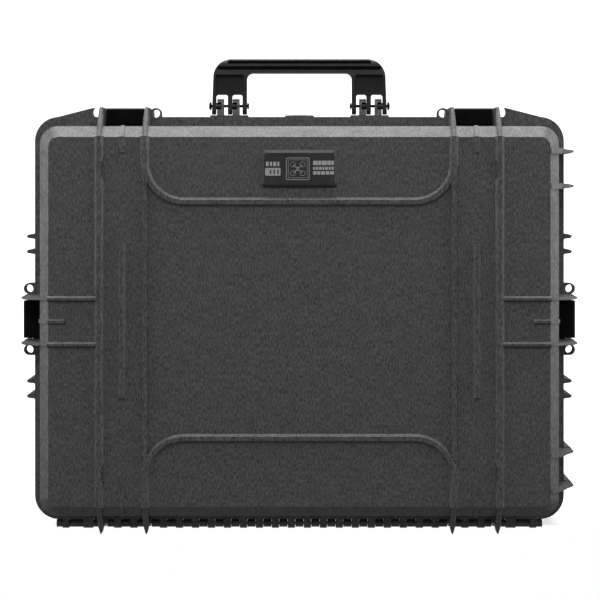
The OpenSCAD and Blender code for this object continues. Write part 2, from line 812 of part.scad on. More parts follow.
upright() base_shell();
upright()  // base_lock_eyes
    lock_eyes(-part_gap - rim_t, rim_t, [guard_t / 2, 2.4], [guard_t / 2, 1.6]);
upright() base_foam_floor();
upright() base_foam_insert();
upright() hinge_pin();
upright() valve_housing();
upright() valve_cap();
upright() valve_seal();
upright() valve_nut();
upright() handle_pins();
upright() lid_shell();
upright()  // lid_lock_eyes
    lock_eyes(part_gap, rim_t, [guard_t / 2, 1.9], [guard_t / 2 - 0.4, guard_t / 2 - 0.4]);
upright() lid_gasket();
upright() lid_foam();
upright() badge_plate();
upright() handle_frame();
upright() handle_grip_strips();
for (s = stations) {
    upright() lever_pins(s);
    upright() lever(s);
    upright() link_pin(s);
    upright() hook(s);
}
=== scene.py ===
"""Looks for the hinged drone carrying case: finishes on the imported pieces, foam, marks and studio."""

import math

import bmesh
import bpy
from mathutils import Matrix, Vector


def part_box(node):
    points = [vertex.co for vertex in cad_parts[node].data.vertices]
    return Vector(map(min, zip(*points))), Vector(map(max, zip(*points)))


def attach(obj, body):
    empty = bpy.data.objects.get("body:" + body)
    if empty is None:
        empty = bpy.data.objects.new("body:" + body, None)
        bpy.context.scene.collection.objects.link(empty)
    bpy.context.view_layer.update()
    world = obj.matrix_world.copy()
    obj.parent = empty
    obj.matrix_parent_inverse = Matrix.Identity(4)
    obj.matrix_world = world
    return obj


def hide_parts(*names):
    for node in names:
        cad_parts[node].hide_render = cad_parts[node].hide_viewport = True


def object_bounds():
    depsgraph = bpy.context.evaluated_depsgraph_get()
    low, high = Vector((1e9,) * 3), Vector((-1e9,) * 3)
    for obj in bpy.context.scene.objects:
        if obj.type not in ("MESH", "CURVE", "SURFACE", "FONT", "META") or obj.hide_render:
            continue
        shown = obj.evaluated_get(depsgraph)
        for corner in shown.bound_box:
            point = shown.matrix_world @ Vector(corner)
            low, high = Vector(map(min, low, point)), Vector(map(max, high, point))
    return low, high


bl_info = {
    "name": "Drone carrying case",
    "version": (1, 0, 0),
    "blender": (4, 5, 0),
    "location": "View3D > Sidebar > Case",
    "description": "Finishes the pieces of a drone carrying case, adds its foam and marks, and lights it",
    "category": "Object",
}

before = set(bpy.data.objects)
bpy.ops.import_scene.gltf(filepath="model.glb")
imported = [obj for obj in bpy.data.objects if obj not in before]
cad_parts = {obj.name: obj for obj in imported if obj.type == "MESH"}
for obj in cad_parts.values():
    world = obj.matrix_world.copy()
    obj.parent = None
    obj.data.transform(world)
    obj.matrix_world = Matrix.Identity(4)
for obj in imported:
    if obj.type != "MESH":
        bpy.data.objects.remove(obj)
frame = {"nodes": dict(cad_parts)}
CAD_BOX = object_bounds()

MM = 0.001
LATCHES = ("front_left", "front_right", "side_left", "side_right")

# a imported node's loose triangles are joined into whole faces within this distance and angle
WELD_DISTANCE = 0.02 * MM
FLAT_ANGLE = math.radians(0.5)

# linings in the handle's legs, dark as painted shade of the leg recesses, in millimetres: size, distance from
# the middle of the case and of the leg, and depth of their centres under the handle's top
LINING_SIZE = (34.2, 0.4, 20.6)
LINING_X = 88.1
LINING_OUT = 7.72
LINING_DOWN = 30.9

# the badge's marks, in millimetres from its middle
INK_FILM = 0.16
TAG_BLOCKS = (3.4, 2.6, 3.8, 2.4)       # widths of the blocks over the tag
TAG_STRIPES = ((-9.4, -3.6), (-1.9, 0.9), (2.6, 5.4), (7.1, 9.4))
SIGN_X = -2.0
ROTOR_RADIUS = 3.3
ROTOR_PLACE = (5.9, 5.4)
# rows on the right: height of the row's middle, height of its blocks, widths of its blocks
ROWS = (
    (7.2, 5.4, (5.6, 3.6, 6.4, 4.4, 3.2)),
    (0.6, 3.8, (2.4, 3.0, 3.4, 2.2, 3.6, 2.6, 3.0)),
    (-5.0, 4.2, (4.4, 3.6, 5.0, 4.2, 4.8)),
)
ROW_LEFT = 16.7
ROW_WIDTH = 25.4

# the lid's foam, in millimetres
PAD_BODY = 13       # from its back to the foot of its peaks
PAD_CORNER = 17
PAD_FADE = 10       # the peaks fade out over this distance from the edge
PAD_GRID = (156, 116)

# the paper sweep, in metres
SWEEP_FRONT = -0.045
SWEEP_BACK = 2.3
SWEEP_WIDTH = 9
SWEEP_RISE = 4.2
SWEEP_BEND = 1.2


def corners(node):
    """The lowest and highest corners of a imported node."""
    low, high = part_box(node)
    return Vector(low), Vector(high)


# ---------- small tools ----------


def linear(code):
    """An sRGB hex colour such as "#3c3c3c" as the linear numbers that shaders take."""
    channels = [int(code.lstrip("#")[i:i + 2], 16) / 255 for i in (0, 2, 4)]
    return tuple(c / 12.92 if c <= 0.04045 else ((c + 0.055) / 1.055) ** 2.4 for c in channels) + (1.0,)


def scaled(colour, factor, lift=0.0):
    """A linear colour made lighter or darker."""
    return tuple(min(1.0, c * factor + lift) for c in colour[:3]) + (1.0,)


def node(tree, kind, inputs=None, **settings):
    """Adds a shader node, sets it up, and links or fills its inputs."""
    made = tree.nodes.new(kind)
    for name, value in settings.items():
        setattr(made, name, value)
    for socket, value in (inputs or {}).items():
        if isinstance(value, bpy.types.NodeSocket):
            tree.links.new(value, made.inputs[socket])
        else:
            made.inputs[socket].default_value = value
    return made


def new_material(name):
    """An empty material, its node tree and the place on the piece that its patterns follow."""
    material = bpy.data.materials.new(name)
    material.use_nodes = True
    tree = material.node_tree
    tree.nodes.clear()
    return material, tree, node(tree, "ShaderNodeTexCoord").outputs["Object"]


def noise(tree, place, scale, detail, roughness=0.5):
    """A noise pattern, with scale in features per metre."""
    inputs = {"Vector": place, "Scale": scale, "Detail": detail, "Roughness": roughness}
    return node(tree, "ShaderNodeTexNoise", inputs).outputs["Fac"]


def stretched(tree, place, scale):
    """The place with each direction scaled on its own."""
    return node(tree, "ShaderNodeMapping", {"Vector": place, "Scale": scale}).outputs[0]


def spread(tree, value, span, to=(0.0, 1.0)):
    """The value moved from one span to another, held at both ends."""
    inputs = {"Value": value, "From Min": span[0], "From Max": span[1], "To Min": to[0], "To Max": to[1]}
    return node(tree, "ShaderNodeMapRange", inputs).outputs[0]


def mixture(tree, share, first, second):
    """A colour between the two."""
    return node(tree, "ShaderNodeMix", {0: share, 6: first, 7: second}, data_type="RGBA").outputs[2]


def relief(tree, height, strength, depth):
    """The surface's direction, roughened by the pattern."""
    inputs = {"Strength": strength, "Distance": depth, "Height": height}
    return node(tree, "ShaderNodeBump", inputs).outputs["Normal"]


def surface(tree, inputs):
    """Ends a material with its shader."""
    shader = node(tree, "ShaderNodeBsdfPrincipled", inputs)
    node(tree, "ShaderNodeOutputMaterial", {"Surface": shader.outputs["BSDF"]})


def select_only(obj):
    """Leaves obj as the one selected and active object."""
    if bpy.context.mode != "OBJECT":
        bpy.ops.object.mode_set(mode="OBJECT")
    bpy.ops.object.select_all(action="DESELECT")
    obj.select_set(True)
    bpy.context.view_layer.objects.active = obj


def settle(obj):
    """Puts obj's place, turn and size into its mesh."""
    select_only(obj)
    bpy.ops.object.transform_apply(location=True, rotation=True, scale=True)


def apply_all(obj):
    """Applies obj's modifiers in order."""
    select_only(obj)
    for modifier in list(obj.modifiers):
        bpy.ops.object.modifier_apply(modifier=modifier.name)


def named(obj, name, material):
    """Names a new piece and gives it its one material."""
    obj.name = name
    obj.data.name = name
    obj.data.materials.clear()
    obj.data.materials.append(material)
    return obj


def pick(obj, kind, test):
    """In edit mode, selects only the verts, edges or faces that pass the test."""
    bpy.ops.mesh.select_mode(type=kind)
    bpy.ops.mesh.select_all(action="DESELECT")
    shape = bmesh.from_edit_mesh(obj.data)
    shape.faces.ensure_lookup_table()
    group = {"VERT": shape.verts, "EDGE": shape.edges, "FACE": shape.faces}[kind]
    for item in group:
        if test(item):
            item.select_set(True)
    shape.select_flush_mode()
    bmesh.update_edit_mesh(obj.data)


def merged_copy(node_name, name, material):
    """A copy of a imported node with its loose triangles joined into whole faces, ready to shape."""
    source = frame["nodes"][node_name]
    copy = bpy.data.objects.new(name, source.data.copy())
    bpy.context.collection.objects.link(copy)
    select_only(copy)
    bpy.ops.object.mode_set(mode="EDIT")
    bpy.ops.mesh.select_all(action="SELECT")
    bpy.ops.mesh.remove_doubles(threshold=WELD_DISTANCE)
    bpy.ops.mesh.dissolve_limited(angle_limit=FLAT_ANGLE)
    bpy.ops.object.mode_set(mode="OBJECT")
    return named(copy, name, material)


def dress(node_name, material, edge, segments=2):
    """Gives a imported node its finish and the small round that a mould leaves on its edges."""
    obj = frame["nodes"][node_name]
    for slot in range(max(1, len(obj.data.materials))):
        if slot < len(obj.data.materials):
            obj.data.materials[slot] = material
        else:
            obj.data.materials.append(material)
    weld = obj.modifiers.new("Joined faces", "WELD")
    weld.merge_threshold = WELD_DISTANCE
    flat = obj.modifiers.new("Whole faces", "DECIMATE")
    flat.decimate_type = "DISSOLVE"
    flat.angle_limit = FLAT_ANGLE
    rounding = obj.modifiers.new("Mould radius", "BEVEL")
    rounding.width = edge * MM
    rounding.segments = segments
    rounding.limit_method = "ANGLE"
    rounding.angle_limit = math.radians(28)
    rounding.harden_normals = False
    normals = obj.modifiers.new("Even shading", "WEIGHTED_NORMAL")
    normals.keep_sharp = True
    normals.weight = 90
    return obj


# ---------- settings ----------


def colour_setting(name, description, default):
    """A setting that holds an sRGB hex colour."""
    return bpy.props.StringProperty(name=name, description=description, default=default)


class CaseFinishes(bpy.types.PropertyGroup):
    """Colours and edge sizes of the case."""

    shell: colour_setting("Shell", "Colour of the two shells", "#272727")
    shell_light: colour_setting("Shell, light flecks", "Lighter colour in the shells' mottling", "#595959")
    trim: colour_setting("Latches", "Colour of the latches' nylon and the handle's grip", "#060606")
    frame: colour_setting("Handle", "Colour of the handle's nylon", "#222222")
    # the leg linings' colour is painted shade: darker than the handle's nylon, it stands in for the shade in
    # the leg recesses
    lining_shade: colour_setting("Leg linings", "Colour of the handle's linings", "#121212")
    badge: colour_setting("Badge", "Colour of the badge plate", "#161717")
    marks: colour_setting("Badge marks", "Colour of the printed marks", "#a8a9a5")
    foam: colour_setting("Foam", "Colour of the foam", "#232426")
    rubber: colour_setting("Rubber", "Colour of the seals", "#0b0b0b")
    steel: colour_setting("Steel", "Colour of the pins", "#b9bbbd")
    shell_edge: bpy.props.FloatProperty(
        name="Shell edge radius",
        description="Round on the shells' edges, in millimetres",
        default=1.1,
        min=0.2,
        max=2,
    )
    trim_edge: bpy.props.FloatProperty(
        name="Trim edge radius",
        description="Round on the small pieces' edges, in millimetres",
        default=0.6,
        min=0.1,
        max=1.5,
    )


class CaseFoam(bpy.types.PropertyGroup):
    """Sizes of the foam pads."""

    edge: bpy.props.FloatProperty(
        name="Edge radius", description="Round on the cut foam, in millimetres", default=2.6, min=0.5, max=5
    )
    pitch: bpy.props.FloatProperty(
        name="Peak spacing",
        description="Distance between the lid foam's peaks, in millimetres",
        default=32,
        min=20,
        max=50,
    )
    relief: bpy.props.FloatProperty(
        name="Peak height",
        description="Height of the lid foam's peaks, in millimetres",
        default=13,
        min=4,
        max=16,
    )


class CaseStudio(bpy.types.PropertyGroup):
    """Lights, floor and camera."""

    floor: colour_setting("Floor", "Colour of the floor and backdrop", "#f4f4f3")
    overhead: bpy.props.FloatProperty(
        name="Overhead", description="Power of the overhead softbox", default=60, min=0, unit="POWER"
    )
    side: bpy.props.FloatProperty(
        name="Sides", description="Power of each side softbox", default=31, min=0, unit="POWER"
    )
    front: bpy.props.FloatProperty(
        name="Front", description="Power of the front fill", default=52, min=0, unit="POWER"
    )
    air: bpy.props.FloatProperty(
        name="Room light", description="Strength of the light from all round", default=0.26, min=0
    )
    distance: bpy.props.FloatProperty(
        name="Camera distance",
        description="Distance from the lid's face",
        default=2.4,
        min=1,
        max=5,
        unit="LENGTH",
    )
    eye_level: bpy.props.FloatProperty(
        name="Eye level", description="Height of the camera", default=0.4295, min=0.1, max=1.5, unit="LENGTH"
    )
    lens: bpy.props.FloatProperty(
        name="Focal length", description="Focal length in millimetres", default=118, min=35, max=200
    )


# ---------- materials ----------


def polypropylene():
    """Injection-moulded polypropylene from a spark-eroded mould: fine even pitting, soft broad highlights,
    and flow marks a few millimetres tall."""
    look = bpy.context.scene.case_finishes
    material, tree, place = new_material("moulded polypropylene")
    # flow marks: flecks about 1.5 mm wide and 5 mm tall, over faint clouds of 12 mm
    flecks = noise(tree, stretched(tree, place, (1.0, 1.0, 0.33)), 640.0, 2.0, 0.7)
    clouds = noise(tree, place, 80.0, 2.0)
    mixed = node(tree, "ShaderNodeMath", {0: clouds, 1: 0.16, 2: flecks}, operation="MULTIPLY_ADD").outputs[0]
    # spark-erosion pits are about 0.1 mm: drawn 1.3 mm wide so that they show
    pits = noise(tree, place, 780.0, 3.0, 0.7)
    share = spread(tree, mixed, (0.42, 0.74))
    surface(tree, {
        "Base Color": mixture(tree, share, linear(look.shell), linear(look.shell_light)),
        "Roughness": spread(tree, clouds, (0.3, 0.7), (0.5, 0.4)),
        "Normal": relief(tree, pits, 0.3, 0.0005),
        "IOR": 1.49,
    })
    return material


def moulded_plastic(name, code, roughness, pit_scale, pit_depth, shine=0.5):
    """A plain moulded plastic whose gloss varies a little and whose surface has the mould's fine pits."""
    material, tree, place = new_material(name)
    patches = noise(tree, place, 60.0, 5.0, 0.6)
    dark = linear(code)
    light = scaled(dark, 1.45, 0.002)
    pits = noise(tree, place, pit_scale, 2.0)
    surface(tree, {
        "Base Color": mixture(tree, spread(tree, patches, (0.35, 0.7)), dark, light),
        "Roughness": spread(tree, patches, (0.3, 0.7), (roughness - 0.05, roughness + 0.07)),
        "Specular IOR Level": shine,
        "Normal": relief(tree, pits, 0.2, pit_depth),
        "IOR": 1.5,
    })
    return material


def glass_filled_nylon():
    """Glass-filled nylon from a satin mould: dark grey, with soft thin highlights along its edges."""
    look = bpy.context.scene.case_finishes
    return moulded_plastic("glass-filled nylon", look.frame, 0.36, 1500.0, 0.0002)


def carbon_black_nylon():
    """Nylon full of carbon black from an eroded mould: it swallows nearly all the light."""
    look = bpy.context.scene.case_finishes
    return moulded_plastic("carbon-black nylon", look.trim, 0.5, 1100.0, 0.0003, 0.05)


def lining_painted_recess_shade():
    """Nylon with a coarse eroded texture, blotched where the mould's spark wear is deeper; its dark colour is
    painted shade for the recesses in the handle's legs.
    """
    look = bpy.context.scene.case_finishes
    return moulded_plastic("spark-textured nylon", look.lining_shade, 0.6, 520.0, 0.0009, 0.3)


def badge_abs():
    """Matt textured ABS, a shade darker than the shell round it."""
    look = bpy.context.scene.case_finishes
    return moulded_plastic("textured ABS", look.badge, 0.5, 1200.0, 0.0003)


def grip_rubber():
    """Moulded grip rubber: dead black and matt, darker than the nylon round it."""
    look = bpy.context.scene.case_finishes
    return moulded_plastic("moulded grip rubber", look.trim, 0.75, 700.0, 0.0004, 0.04)


def epdm_rubber():
    """Extruded EPDM rubber: matt, with a faint bloom that greys it at a slant."""
    material, tree, place = new_material("EPDM rubber")
    bloom = noise(tree, place, 90.0, 6.0)
    dark = linear(bpy.context.scene.case_finishes.rubber)
    surface(tree, {
        "Base Color": mixture(tree, bloom, dark, scaled(dark, 1.8)),
        "Roughness": 0.72,
        "Sheen Weight": 0.2,
        "Sheen Roughness": 0.5,
        "Normal": relief(tree, bloom, 0.25, 0.0002),
    })
    return material


def turned_steel():
    """Centreless-ground stainless pin steel: bright, with fine rings round the pin."""
    material, tree, place = new_material("ground stainless steel")
    rings = noise(tree, stretched(tree, place, (3000.0, 60.0, 60.0)), 1.0, 2.0)
    surface(tree, {
        "Base Color": linear(bpy.context.scene.case_finishes.steel),
        "Metallic": 1.0,
        "Roughness": spread(tree, rings, (0.3, 0.7), (0.22, 0.36)),
    })
    return material


def polyurethane_foam():
    """Open-cell polyurethane foam: very matt, its cut face pricked all over with cells, each painted darker
    in its pit as shade.
    """
    material, tree, place = new_material("polyurethane foam")
    # cells are about 0.5 mm: drawn 1.2 mm wide so that they show
    cells = node(
        tree, "ShaderNodeTexVoronoi", {"Vector": place, "Scale": 800.0, "Randomness": 1.0}, feature="F1"
    )
    drift = noise(tree, place, 35.0, 4.0)
    depth = spread(tree, cells.outputs["Distance"], (0.1, 0.7))
    # painted shade: the colour darkens towards each cell's middle, where the bump sinks into its pit, and
    # varies at random with the drift
    shade = node(tree, "ShaderNodeMath", {0: depth, 1: drift}, operation="MULTIPLY").outputs[0]
    middle = linear(bpy.context.scene.case_finishes.foam)
    surface(tree, {
        "Base Color": mixture(tree, shade, scaled(middle, 0.55), scaled(middle, 1.9)),
        "Roughness": 0.95,
        "Specular IOR Level": 0.15,
        "Sheen Weight": 0.25,
        "Sheen Roughness": 0.6,
        "Normal": relief(tree, depth, 0.7, 0.0006),
    })
    return material


def pad_printed_ink():
    """Pad-printed ink: a thin light grey film that is slightly uneven where the pad lifted."""
    material, tree, place = new_material("pad-printed ink")
    film = noise(tree, place, 900.0, 3.0)
    full = linear(bpy.context.scene.case_finishes.marks)
    surface(tree, {"Base Color": mixture(tree, film, scaled(full, 0.62), full), "Roughness": 0.55})
    return material


MAKERS = {
    "shell": polypropylene,
    "nylon": glass_filled_nylon,
    "latch nylon": carbon_black_nylon,
    "lining nylon": lining_painted_recess_shade,
    "badge": badge_abs,
    "rubber": epdm_rubber,
    "grip rubber": grip_rubber,
    "steel": turned_steel,
    "foam": polyurethane_foam,
    "ink": pad_printed_ink,
}
made_materials = {}


def finish_of(kind):
    """The material of that kind, made once."""
    if kind not in made_materials:
        made_materials[kind] = MAKERS[kind]()
    return made_materials[kind]


# ---------- pieces ----------


class CASE_OT_shells(bpy.types.Operator):
    """Finish the lid, the base and their padlock eyes"""

    bl_idname = "case.shells"
    bl_label = "Shells"

    def execute(self, context):
        edge = context.scene.case_finishes.shell_edge
        for name in ("base_shell", "lid_shell"):
            dress(name, finish_of("shell"), edge)
        for name in ("base_lock_eyes", "lid_lock_eyes"):
            dress(name, finish_of("shell"), 0.7)
        dress("badge_plate", finish_of("badge"), 0.5)
        return {"FINISHED"}


class CASE_OT_latches(bpy.types.Operator):
    """Finish the levers, hooks and pins of the four latches"""

    bl_idname = "case.latches"
    bl_label = "Latches"

    def execute(self, context):
        edge = context.scene.case_finishes.trim_edge
        for name in LATCHES:
            dress("latch_lever_" + name, finish_of("latch nylon"), edge)
            dress("latch_hook_" + name, finish_of("latch nylon"), edge)
            dress("latch_pins_" + name, finish_of("steel"), 0.2)
            dress("latch_link_pin_" + name, finish_of("steel"), 0.2)
        return {"FINISHED"}


class CASE_OT_handle(bpy.types.Operator):
    """Finish the folding handle, its grip strips and its pins, and line the recesses in its legs with dark
    sheets of painted shade
    """

    bl_idname = "case.handle"
    bl_label = "Handle"

    def execute(self, context):
        dress("handle_frame", finish_of("nylon"), context.scene.case_finishes.trim_edge)
        dress("handle_grip_strips", finish_of("grip rubber"), 0.4)
        dress("handle_pins", finish_of("latch nylon"), 0.4)
        # textured linings on the floors of the recesses in the legs, dark as painted shade of the recesses
        low, high = corners("handle_frame")
        middle_y = (low.y + high.y) / 2
        bpy.ops.object.select_all(action="DESELECT")
        linings = []
        for side in (-1, 1):
            for face in (-1, 1):
                place = (side * LINING_X * MM, middle_y + face * LINING_OUT * MM, high.z - LINING_DOWN * MM)
                bpy.ops.mesh.primitive_cube_add(
                    size=1, location=place, scale=tuple(length * MM for length in LINING_SIZE)
                )
                linings.append(context.object)
        for lining_shade in linings:
            lining_shade.select_set(True)
        bpy.ops.object.join()
        joined = context.object
        settle(joined)
        round_edges = joined.modifiers.new("Mould radius", "BEVEL")
        round_edges.width = 0.1 * MM
        apply_all(joined)
        named(joined, "leg_shade_linings", finish_of("lining nylon"))
        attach(joined, "handle")
        return {"FINISHED"}


class CASE_OT_hinge_and_seals(bpy.types.Operator):
    """Finish the hinge pin, the gasket and the fixed pieces of the pressure valve"""

    bl_idname = "case.hinge_and_seals"
    bl_label = "Hinge and seals"

    def execute(self, context):
        dress("hinge_pin", finish_of("steel"), 0.3)
        dress("lid_gasket", finish_of("rubber"), 0.9, 3)
        dress("valve_seal", finish_of("rubber"), 0.3)
        dress("valve_housing", finish_of("shell"), 0.6)
        dress("valve_nut", finish_of("nylon"), 0.4)
        return {"FINISHED"}


class CASE_OT_valve_cap(bpy.types.Operator):
    """Make the valve's knurled cap"""

    bl_idname = "case.valve_cap"
    bl_label = "Valve cap"

    def execute(self, context):
        low, high = corners("valve_cap")
        middle = (low + high) / 2
        height = high.z - low.z
        radius = (high.x - low.x) / 2
        bpy.ops.object.select_all(action="DESELECT")
        flange = 0.6 * height
        facets = 72
        bpy.ops.mesh.primitive_cylinder_add(
            vertices=facets, radius=radius, depth=flange, location=(middle.x, middle.y, low.z + flange / 2)
        )
        cap = context.object
        settle(cap)
        bpy.ops.object.mode_set(mode="EDIT")
        top = low.z + flange
        pick(cap, "FACE", lambda f: f.normal.z > 0.9)
        bpy.ops.mesh.inset(thickness=0.3 * radius, depth=0)
        bpy.ops.mesh.extrude_region_move(TRANSFORM_OT_translate={"value": (0, 0, high.z - top)})
        bpy.ops.mesh.inset(thickness=0.08 * radius, depth=0)
        bpy.ops.mesh.inset(thickness=0.3 * radius, depth=-0.12 * height)
        bpy.ops.object.mode_set(mode="OBJECT")
        # knurling: every other facet of the knob's wall is pulled in
        for vert in cap.data.vertices:
            offset = Vector((vert.co.x - middle.x, vert.co.y - middle.y))
            step = round(math.atan2(offset.y, offset.x) * facets / (2 * math.pi))
            if 0.6 * radius < offset.length < 0.75 * radius and step % 2:
                vert.co.x = middle.x + offset.x * 0.955
                vert.co.y = middle.y + offset.y * 0.955
        round_edges = cap.modifiers.new("Mould radius", "BEVEL")
        round_edges.width = 0.25 * MM
        round_edges.segments = 2
        round_edges.limit_method = "ANGLE"
        apply_all(cap)
        bpy.ops.object.shade_smooth_by_angle(angle=math.radians(35))
        named(cap, "valve_knob", finish_of("rubber"))
        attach(cap, "base")
        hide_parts("valve_cap")
        return {"FINISHED"}


def flat_outline(points, name):
    """A flat upright face through points given as (x, z)."""
    mesh = bpy.data.meshes.new(name)
    mesh.from_pydata([(x, 0, z) for x, z in points], [], [list(range(len(points)))])
    obj = bpy.data.objects.new(name, mesh)
    bpy.context.collection.objects.link(obj)
    return obj


def round_box_points(width, height, radius, steps=6):
    """The outline of a rectangle with round corners, about its middle."""
    points = []
    for quarter, (sx, sz) in enumerate(((1, 1), (-1, 1), (-1, -1), (1, -1))):
        for step in range(steps + 1):
            angle = math.radians(90 * quarter + 90 * step / steps)
            points.append((
                sx * (width / 2 - radius) + radius * math.cos(angle),
                sz * (height / 2 - radius) + radius * math.sin(angle),
            ))
    return points


def ring_points(radius, steps=32):
    """The outline of a circle."""
    angles = [2 * math.pi * i / steps for i in range(steps)]
    return [(radius * math.cos(angle), radius * math.sin(angle)) for angle in angles]


def printed_band(outline, line, place, front, film):
    """A closed printed line: the outline inset by its own width, with the inside left bare."""
    points = [(place[0] + x, place[1] + z) for x, z in outline]
    obj = flat_outline(points, "mark")
    select_only(obj)
    bpy.ops.object.mode_set(mode="EDIT")
    bpy.ops.mesh.select_all(action="SELECT")
    bpy.ops.mesh.inset(thickness=line, depth=0)
    bpy.ops.mesh.delete(type="FACE")
    bpy.ops.object.mode_set(mode="OBJECT")
    return raised(obj, front, film)


def printed_patch(outline, place, front, film):
    """A solid printed patch."""
    return raised(flat_outline([(place[0] + x, place[1] + z) for x, z in outline], "mark"), front, film)


def raised(obj, front, film):
    """Gives a flat mark its film's thickness, standing out of the plane y = front towards -y."""
    solid = obj.modifiers.new("Ink film", "SOLIDIFY")
    solid.thickness = film
    solid.offset = 0
    apply_all(obj)
    obj.location.y = front
    settle(obj)
    bpy.ops.object.mode_set(mode="EDIT")
    bpy.ops.mesh.select_all(action="SELECT")
    bpy.ops.mesh.normals_make_consistent(inside=False)
    bpy.ops.object.mode_set(mode="OBJECT")
    return obj


class CASE_OT_badge_marks(bpy.types.Operator):
    """Print the badge: a blank tag, a framed quadcopter sign and three rows of plain blocks"""

    bl_idname = "case.badge_marks"
    bl_label = "Badge marks"

    def execute(self, context):
        low, high = corners("badge_plate")
        cx = (low.x + high.x) / 2
        cz = (low.z + high.z) / 2
        front = low.y
        film = INK_FILM * MM
        marks = []

        def band(outline, line, x, z):
            points = [(px * MM, pz * MM) for px, pz in outline]
            marks.append(printed_band(points, line * MM, (cx + x * MM, cz + z * MM), front, film))

        def patch(outline, x, z):
            points = [(px * MM, pz * MM) for px, pz in outline]
            marks.append(printed_patch(points, (cx + x * MM, cz + z * MM), front, film))

        # blank tag on the left: a row of blocks over a filled tag with three upright slots
        for i, width in enumerate(TAG_BLOCKS):
            patch(round_box_points(width, 5.4, 0.5, 3), -39.2 + 4.5 * i, 6.0)
        tag_x = -32.4
        tag_z = -3.6
        for left, right in TAG_STRIPES:
            patch([(left, -2.6), (right, -2.6), (right, 2.6), (left, 2.6)], tag_x, tag_z)
        for end in (-1, 1):
            patch(round_box_points(18.8, 2.2, 0.9, 4), tag_x, tag_z + 3.6 * end)

        # framed sign in the middle: a quadcopter seen from above
        band(round_box_points(28.6, 27.2, 2.4), 0.7, SIGN_X, 0.0)
        band(round_box_points(23.6, 22.2, 1.0), 0.4, SIGN_X, 0.0)
        rotor_x, rotor_z = ROTOR_PLACE
        for sx in (-1, 1):
            for sz in (-1, 1):
                band(ring_points(ROTOR_RADIUS), 0.45, SIGN_X + rotor_x * sx, rotor_z * sz)
                arm = ((0.6, 0.0), (0.0, 0.6), (5.2, 5.3), (5.8, 4.7))
                patch([(sx * x, sz * z) for x, z in arm], SIGN_X, 0.0)
        patch(round_box_points(3.0, 4.4, 1.2), SIGN_X, 0.0)

        # three rows of plain blocks on the right
        for z, height, widths in ROWS:
            gap = (ROW_WIDTH - sum(widths)) / (len(widths) - 1)
            left = ROW_LEFT
            for width in widths:
                patch(round_box_points(width, height, 0.4, 3), left + width / 2, z)
                left += width + gap

        bpy.ops.object.select_all(action="DESELECT")
        for mark in marks:
            mark.select_set(True)
        context.view_layer.objects.active = marks[0]
        bpy.ops.object.join()
        joined = named(context.object, "badge_marks", finish_of("ink"))
        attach(joined, "lid")
        return {"FINISHED"}


def soften(obj, edge, segments):
    """Rounds a foam block's cut edges."""
    rounding = obj.modifiers.new("Soft edge", "BEVEL")
    rounding.width = edge * MM
    rounding.segments = segments
    rounding.limit_method = "ANGLE"
    rounding.angle_limit = math.radians(32)
    apply_all(obj)
    bpy.ops.object.shade_smooth_by_angle(angle=math.radians(45))


def stand_in(pad, node_name, body):
    """Hangs a pad on its body and hides the plain foam node that it stands for."""
    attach(pad, body)
    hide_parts(node_name)


class CASE_OT_foam_insert(bpy.types.Operator):
    """Make the cut foam that holds the drone, its controller and batteries"""

    bl_idname = "case.foam_insert"
    bl_label = "Foam insert"

    def execute(self, context):
        insert = merged_copy("base_foam_insert", "foam_insert", finish_of("foam"))
        soften(insert, context.scene.case_foam.edge, 3)
        stand_in(insert, "base_foam_insert", "base")
        pad = merged_copy("base_foam_floor", "foam_floor_pad", finish_of("foam"))
        soften(pad, context.scene.case_foam.edge, 2)
        stand_in(pad, "base_foam_floor", "base")
        return {"FINISHED"}


class CASE_OT_lid_foam(bpy.types.Operator):
    """Make the lid's convoluted foam, with rows of round peaks"""

    bl_idname = "case.lid_foam"
    bl_label = "Lid foam"

    def execute(self, context):
        foam = context.scene.case_foam
        low, high = corners("lid_foam")
        middle = (low + high) / 2
        half_x = (high.x - low.x) / 2
        half_z = (high.z - low.z) / 2
        face = high.y
        back = low.y + PAD_BODY * MM
        bpy.ops.object.select_all(action="DESELECT")
        bpy.ops.mesh.primitive_grid_add(
            x_subdivisions=PAD_GRID[0],
            y_subdivisions=PAD_GRID[1],
            size=1,
            location=(middle.x, face, middle.z),
            rotation=(math.radians(-90), 0, 0),
        )
        pad = context.object
        pad.scale = (2 * half_x, 2 * half_z, 1)
        settle(pad)
        bpy.ops.object.mode_set(mode="EDIT")
        bpy.ops.mesh.select_all(action="SELECT")
        bpy.ops.mesh.region_to_loop()
        bpy.ops.mesh.extrude_region_move(TRANSFORM_OT_translate={"value": (0, back - face, 0)})
        bpy.ops.mesh.edge_face_add()
        bpy.ops.object.mode_set(mode="OBJECT")
        corner = PAD_CORNER * MM
        rows = max(2, round(2 * half_z / (foam.pitch * MM)))
        columns = max(2, round(2 * half_x / (foam.pitch * MM)))
        for vert in pad.data.vertices:
            x = vert.co.x - middle.x
            z = vert.co.z - middle.z
            if abs(vert.co.y - face) < 0.1 * MM:
                wave = math.cos(math.pi * columns * x / half_x) * math.cos(math.pi * rows * z / half_z)
                rim = min(1.0, min(half_x - abs(x), half_z - abs(z)) / (PAD_FADE * MM))
                vert.co.y = face - foam.relief * MM * (0.5 - 0.5 * wave * rim)
            u = abs(x) - (half_x - corner)
            v = abs(z) - (half_z - corner)
            if u > 0 and v > 0:
                # corner of the pad follows the shell's round corner
                u, v = (
                    u * math.sqrt(1 - 0.5 * (v / corner) ** 2),
                    v * math.sqrt(1 - 0.5 * (u / corner) ** 2),
                )
                vert.co.x = middle.x + math.copysign(half_x - corner + u, x)
                vert.co.z = middle.z + math.copysign(half_z - corner + v, z)
        bpy.ops.object.mode_set(mode="EDIT")
        bpy.ops.mesh.select_all(action="SELECT")
        bpy.ops.mesh.normals_make_consistent(inside=False)
        bpy.ops.object.mode_set(mode="OBJECT")
        bpy.ops.object.shade_smooth_by_angle(angle=math.radians(50))
        named(pad, "foam_lid_pad", finish_of("foam"))
        stand_in(pad, "lid_foam", "lid")
        return {"FINISHED"}


# ---------- stage ----------


